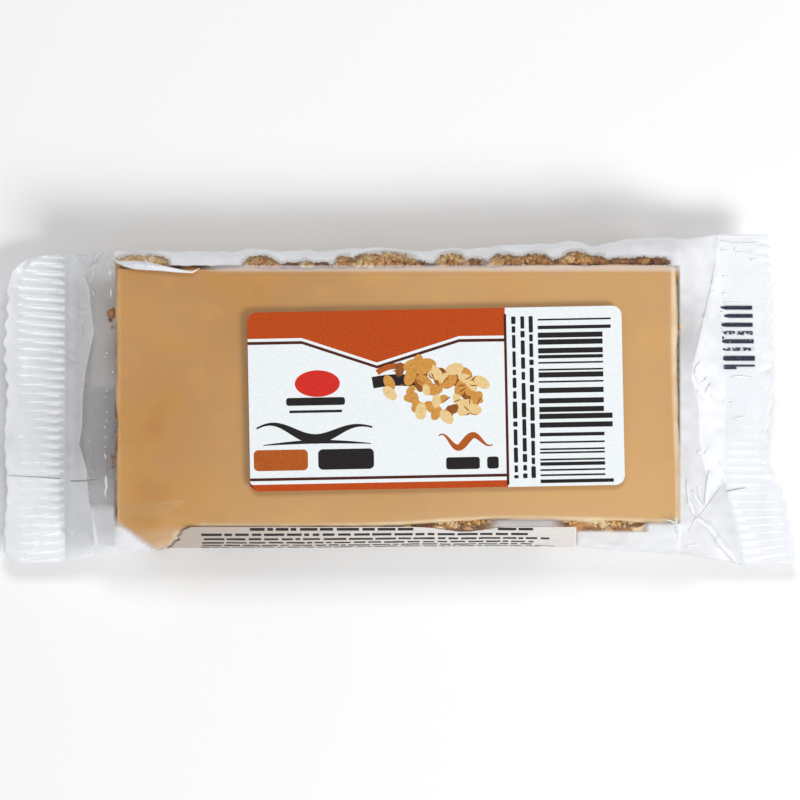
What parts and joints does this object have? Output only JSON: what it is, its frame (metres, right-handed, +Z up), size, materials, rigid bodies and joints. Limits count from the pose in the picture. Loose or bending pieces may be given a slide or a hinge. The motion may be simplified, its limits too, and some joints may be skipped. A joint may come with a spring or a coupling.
{
  "type": "wrapped oat bar",
  "caption": "Caramel-topped oat bar sealed in a clear flow-wrap bag with ribbed crimped ends and paper stickers.",
  "frame": {"origin": "centre of the bag's footprint, on the surface it lies on", "axes": "+X along the bag to the end seal that leans outwards at the front, +Y across it to the back, +Z up out of the top sticker"},
  "size_m": [0.1514, 0.063, 0.0178],
  "materials": {
    "film": "thin clear flow-wrap film, glossy, milky where it is crimped; the solid also stands for the bar inside",
    "label_paper": "coated white sticker paper with matt print",
    "caramel": "set caramel icing, smooth with a soft sheen",
    "oats": "baked rolled oats bound with syrup, rough, slightly glossy"
  },
  "bodies": {
    "root": {"wrapper": "film", "top_label": "label_paper", "back_label": "label_paper"}
  },
  "joints": []
}
